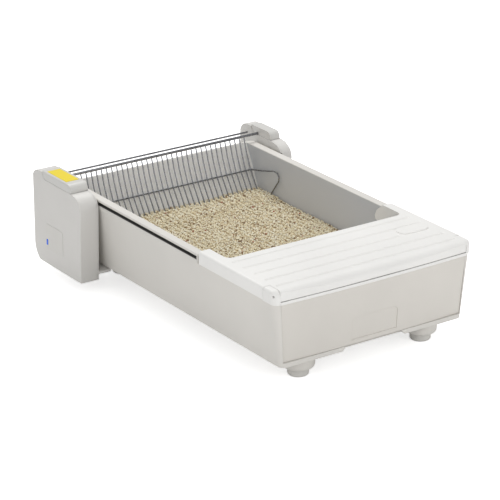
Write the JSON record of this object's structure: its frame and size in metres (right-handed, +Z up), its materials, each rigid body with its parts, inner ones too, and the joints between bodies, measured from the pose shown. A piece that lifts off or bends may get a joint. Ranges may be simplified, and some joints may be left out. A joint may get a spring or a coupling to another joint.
{
  "type": "self-cleaning litter box",
  "caption": "Self-cleaning litter box: a tray on round feet with a wire rake carried on a rail gantry, a hinged front lid and a pull-out waste drawer.",
  "frame": {"origin": "on the floor, under the middle of the whole box and both towers", "axes": "+X to the right seen from the front, +Y from the front to the rear, +Z up"},
  "size_m": [0.479, 0.702, 0.1962],
  "materials": {
    "shell": "satin",
    "lid": "satin",
    "tower": "satin",
    "cap": "satin",
    "chrome": "polished",
    "dark_plastic": "satin",
    "gear_plastic": "satin",
    "litter": "granular",
    "rubber_foot": "matte",
    "steel": "brushed",
    "board": "satin",
    "light": "glossy",
    "patch": "satin"
  },
  "bodies": {
    "base": {"base_shell": "shell", "bottom_cover": "shell", "bottom_cover_screws": "steel", "foot_housings": "shell", "foot_pads": "rubber_foot", "load_cells": "steel", "weigh_board": "board", "litter_bed": "litter", "rack_left": "gear_plastic", "rack_right": "gear_plastic", "lid_hinge_pins": "steel"},
    "drawer": {"drawer_front": "shell", "waste_bin": "shell"},
    "lid": {"lid_shell": "lid", "lid_badge": "lid", "lid_hinge_sleeves": "gear_plastic"},
    "gantry": {"cap_patch": "patch", "control_board": "board", "control_overlay": "dark_plastic", "left_cap": "cap", "left_drive_motor": "steel", "left_glide_shoes": "gear_plastic", "left_tower_cover": "tower", "left_tower_frame": "tower", "power_inlet": "dark_plastic", "rake_motor": "steel", "right_cap": "cap", "right_drive_motor": "steel", "right_glide_shoes": "gear_plastic", "right_tower_cover": "tower", "right_tower_frame": "tower", "status_light": "light", "tie_rod": "chrome"},
    "left_pinion": {"left_pinion": "gear_plastic"},
    "right_pinion": {"right_pinion": "gear_plastic"},
    "left_drive_gear": {"left_drive_gear": "gear_plastic"},
    "right_drive_gear": {"right_drive_gear": "gear_plastic"},
    "rake": {"rake_rod": "chrome", "rake_tines": "chrome", "rake_cross_wire": "chrome", "rake_side_loops": "chrome", "rake_sector_gear": "gear_plastic"},
    "rake_pinion": {"rake_pinion": "gear_plastic"}
  },
  "joints": [
    {"name": "drawer_slide", "type": "slide", "parent": "base", "child": "drawer", "axis": [0, -1, 0], "range_m": [0, 0.17]},
    {"name": "lid_hinge", "type": "hinge", "parent": "base", "child": "lid", "pos_m": [0.00755, -0.33965, 0.1655], "axis": [1, 0, 0], "range_deg": [0, 60]},
    {"name": "gantry_slide", "type": "slide", "parent": "base", "child": "gantry", "axis": [0, -1, 0], "range_m": [0, 0.27]},
    {"name": "left_pinion_spin", "type": "hinge", "parent": "gantry", "child": "left_pinion", "pos_m": [-0.20345, 0.23735, 0.1615], "axis": [0, 0, 1], "range_deg": [-1, 1032.32]},
    {"name": "right_pinion_spin", "type": "hinge", "parent": "gantry", "child": "right_pinion", "pos_m": [0.21855, 0.23735, 0.1615], "axis": [0, 0, 1], "range_deg": [-1032.32, 1]},
    {"name": "left_drive_gear_spin", "type": "hinge", "parent": "gantry", "child": "left_drive_gear", "pos_m": [-0.22045, 0.25209, 0.1615], "axis": [0, 0, 1], "range_deg": [-2063.65, 1]},
    {"name": "right_drive_gear_spin", "type": "hinge", "parent": "gantry", "child": "right_drive_gear", "pos_m": [0.22755, 0.25797, 0.1615], "axis": [0, 0, 1], "range_deg": [-1, 2063.65]},
    {"name": "rake_hinge", "type": "hinge", "parent": "gantry", "child": "rake", "pos_m": [0.00755, 0.29485, 0.1835], "axis": [-1, 0, 0], "range_deg": [0, 45]},
    {"name": "rake_pinion_spin", "type": "hinge", "parent": "gantry", "child": "rake_pinion", "pos_m": [-0.20845, 0.29485, 0.1535], "axis": [-1, 0, 0], "range_deg": [-181, 1]}
  ],
  "couplings": [
    {"joint": "left_pinion_spin", "follows": "gantry_slide", "rad_per_m": 66.667},
    {"joint": "right_pinion_spin", "follows": "gantry_slide", "rad_per_m": -66.667},
    {"joint": "left_drive_gear_spin", "follows": "gantry_slide", "rad_per_m": -133.33},
    {"joint": "right_drive_gear_spin", "follows": "gantry_slide", "rad_per_m": 133.33},
    {"joint": "rake_pinion_spin", "follows": "rake_hinge", "ratio": -4}
  ]
}
